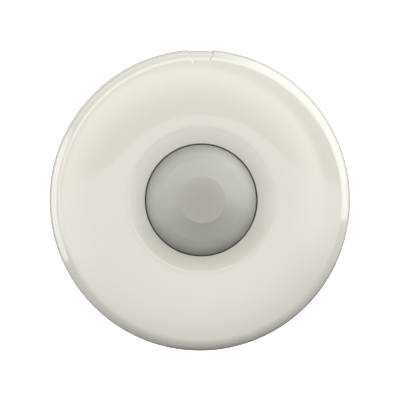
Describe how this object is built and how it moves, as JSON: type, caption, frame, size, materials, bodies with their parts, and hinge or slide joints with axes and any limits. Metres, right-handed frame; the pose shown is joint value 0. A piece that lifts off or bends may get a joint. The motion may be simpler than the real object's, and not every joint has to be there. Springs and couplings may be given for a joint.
{
  "type": "ceiling motion detector",
  "caption": "Round ceiling motion detector: glossy disc cover with a stepped dome lens, hinged on a rear housing that holds the sensing board.",
  "frame": {"origin": "centre of the rear mounting face, which lies against the ceiling", "axes": "+Z out of the mounting face along the lens axis, +Y towards the release notch, +X to the right as seen from the lens side"},
  "size_m": [0.12, 0.12, 0.0321],
  "materials": {
    "cover_plastic": "glossy moulded warm white plastic",
    "housing_plastic": "fine matt moulded plastic",
    "lens_plastic": "translucent grey polyethylene, satin",
    "retainer_plastic": "matt moulded plastic",
    "board_laminate": "green solder resist over copper",
    "screw_steel": "zinc plated",
    "can_steel": "nickel plated, satin",
    "tinned_metal": "tinned",
    "filter_window": "dark coated filter, smooth",
    "gasket_foam": "soft closed foam",
    "terminal_plastic": "satin moulded plastic",
    "relay_plastic": "satin moulded plastic",
    "switch_plastic": "satin moulded plastic",
    "plunger_plastic": "smooth moulded plastic",
    "lamp_epoxy": "clear red epoxy",
    "chip_epoxy": "fine matt moulded epoxy",
    "capacitor_can": "bright drawn can",
    "capacitor_base": "satin moulded plastic",
    "resistor_body": "glazed",
    "ceramic_body": "fired ceramic",
    "diode_body": "matt moulded epoxy",
    "option_plastic": "satin moulded plastic",
    "slider_plastic": "satin moulded plastic"
  },
  "bodies": {
    "housing": {"rear_housing": "housing_plastic", "circuit_board": "board_laminate", "board_screws": "screw_steel", "sensor_header": "can_steel", "sensor_can": "can_steel", "sensor_window": "filter_window", "sensor_leads": "tinned_metal", "sensor_gasket": "gasket_foam", "terminal_block": "terminal_plastic", "terminal_screws": "screw_steel", "terminal_clamps": "tinned_metal", "alarm_relay": "relay_plastic", "relay_pins": "tinned_metal", "tamper_switch": "switch_plastic", "walk_test_led": "lamp_epoxy", "led_leads": "tinned_metal", "microcontroller": "chip_epoxy", "microcontroller_pins": "tinned_metal", "signal_amplifier": "chip_epoxy", "amplifier_pins": "tinned_metal", "voltage_regulator": "chip_epoxy", "storage_capacitors": "capacitor_can", "capacitor_bases": "capacitor_base", "chip_resistors": "resistor_body", "chip_capacitors": "ceramic_body", "protection_diodes": "diode_body", "option_switch": "option_plastic"},
    "cover": {"front_cover": "cover_plastic", "dome_lens": "lens_plastic", "lens_retainer": "retainer_plastic", "retainer_screws": "screw_steel"},
    "latch": {"release_latch": "housing_plastic"},
    "plunger": {"tamper_plunger": "plunger_plastic"},
    "option_1": {"option_slider_1": "slider_plastic"},
    "option_2": {"option_slider_2": "slider_plastic"},
    "option_3": {"option_slider_3": "slider_plastic"}
  },
  "joints": [
    {"name": "cover_swing", "type": "hinge", "parent": "housing", "child": "cover", "pos_m": [0, -0.0578, 0.0028], "axis": [1, 0, 0], "range_deg": [0, 30]},
    {"name": "latch_press", "type": "hinge", "parent": "housing", "child": "latch", "pos_m": [0, 0.05475, 0.00305], "axis": [1, 0, 0], "range_deg": [0, 12], "stiffness_Nm_per_rad": 0.2},
    {"name": "tamper_plunge", "type": "slide", "parent": "housing", "child": "plunger", "axis": [0, 0, 1], "range_m": [0, 0.0015], "stiffness_N_per_m": 150, "springref_m": 0.0015},
    {"name": "option_1_slide", "type": "slide", "parent": "housing", "child": "option_1", "axis": [0, 1, 0], "range_m": [0, 0.0018]},
    {"name": "option_2_slide", "type": "slide", "parent": "housing", "child": "option_2", "axis": [0, 1, 0], "range_m": [0, 0.0018]},
    {"name": "option_3_slide", "type": "slide", "parent": "housing", "child": "option_3", "axis": [0, 1, 0], "range_m": [0, 0.0018]}
  ],
  "couplings": [
    {"joint": "tamper_plunge", "follows": "cover_swing", "m_per_rad": 0.00286}
  ]
}
